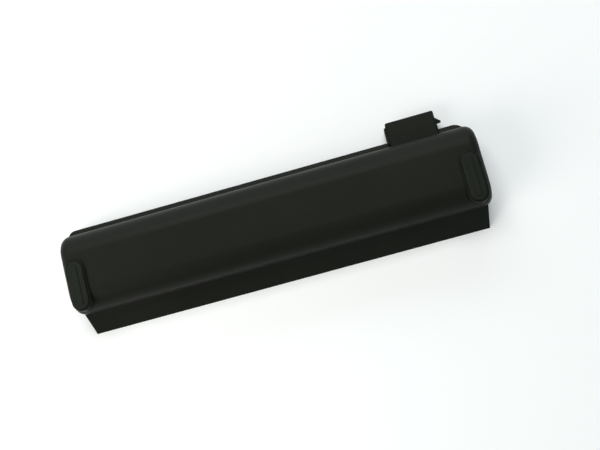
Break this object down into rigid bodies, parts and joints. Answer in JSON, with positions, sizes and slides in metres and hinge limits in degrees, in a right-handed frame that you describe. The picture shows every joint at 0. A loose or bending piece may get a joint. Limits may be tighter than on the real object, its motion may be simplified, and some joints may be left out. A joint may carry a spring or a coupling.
{
  "type": "laptop battery pack",
  "caption": "Long black laptop battery with a bulged case over its cells, a slanted rear, rubber feet and a plug-in connector on the front edge.",
  "frame": {"origin": "centre of the bounding box at its bottom, on the flat inner face", "axes": "+X along the pack, +Y to the connector side, +Z from the flat inner face to the feet"},
  "size_m": [0.207, 0.062, 0.0232],
  "materials": {
    "case_plastic": "fine-grained black moulding, satin",
    "cover_plastic": "fine-grained black moulding",
    "foot_rubber": "matt black rubber",
    "adhesive_film": "thin double-sided tape",
    "connector_plastic": "plain black insulator",
    "nickel": "rolled nickel",
    "foam": "closed-cell foam",
    "board": "solder-masked laminate",
    "chip": "moulded package",
    "ceramic_white": "fired ceramic",
    "capacitor": "fired ceramic",
    "thermistor_bead": "dipped coating",
    "lead_insulation": "insulated wire",
    "cell_sleeve": "shrunk film",
    "ring_paper": "fibre paper",
    "contact_gold": "gold flash"
  },
  "bodies": {
    "root": {"outer_case": "case_plastic", "inner_cover": "cover_plastic", "foot_left": "foot_rubber", "foot_film_left": "adhesive_film", "foot_right": "foot_rubber", "foot_film_right": "adhesive_film", "connector_block": "connector_plastic", "strip_negative": "nickel", "strip_joint_1": "nickel", "strip_joint_2": "nickel", "strip_positive": "nickel", "end_pad_left": "foam", "end_pad_right": "foam", "tape_front": "adhesive_film", "tape_rear": "adhesive_film", "circuit_board": "board", "gauge_chip": "chip", "protector_chip": "chip", "charge_mosfet": "chip", "discharge_mosfet": "chip", "sense_resistor": "chip", "chip_fuse": "ceramic_white", "capacitors": "capacitor", "thermistor": "thermistor_bead", "negative_lead": "lead_insulation", "cell_1": "cell_sleeve", "cell_ring_1": "ring_paper", "cell_2": "cell_sleeve", "cell_ring_2": "ring_paper", "cell_3": "cell_sleeve", "cell_ring_3": "ring_paper", "cell_4": "cell_sleeve", "cell_ring_4": "ring_paper", "cell_5": "cell_sleeve", "cell_ring_5": "ring_paper", "cell_6": "cell_sleeve", "cell_ring_6": "ring_paper", "contact_1": "contact_gold", "contact_2": "contact_gold", "contact_3": "contact_gold", "contact_4": "contact_gold", "contact_5": "contact_gold", "contact_6": "contact_gold", "contact_7": "contact_gold"}
  },
  "joints": []
}
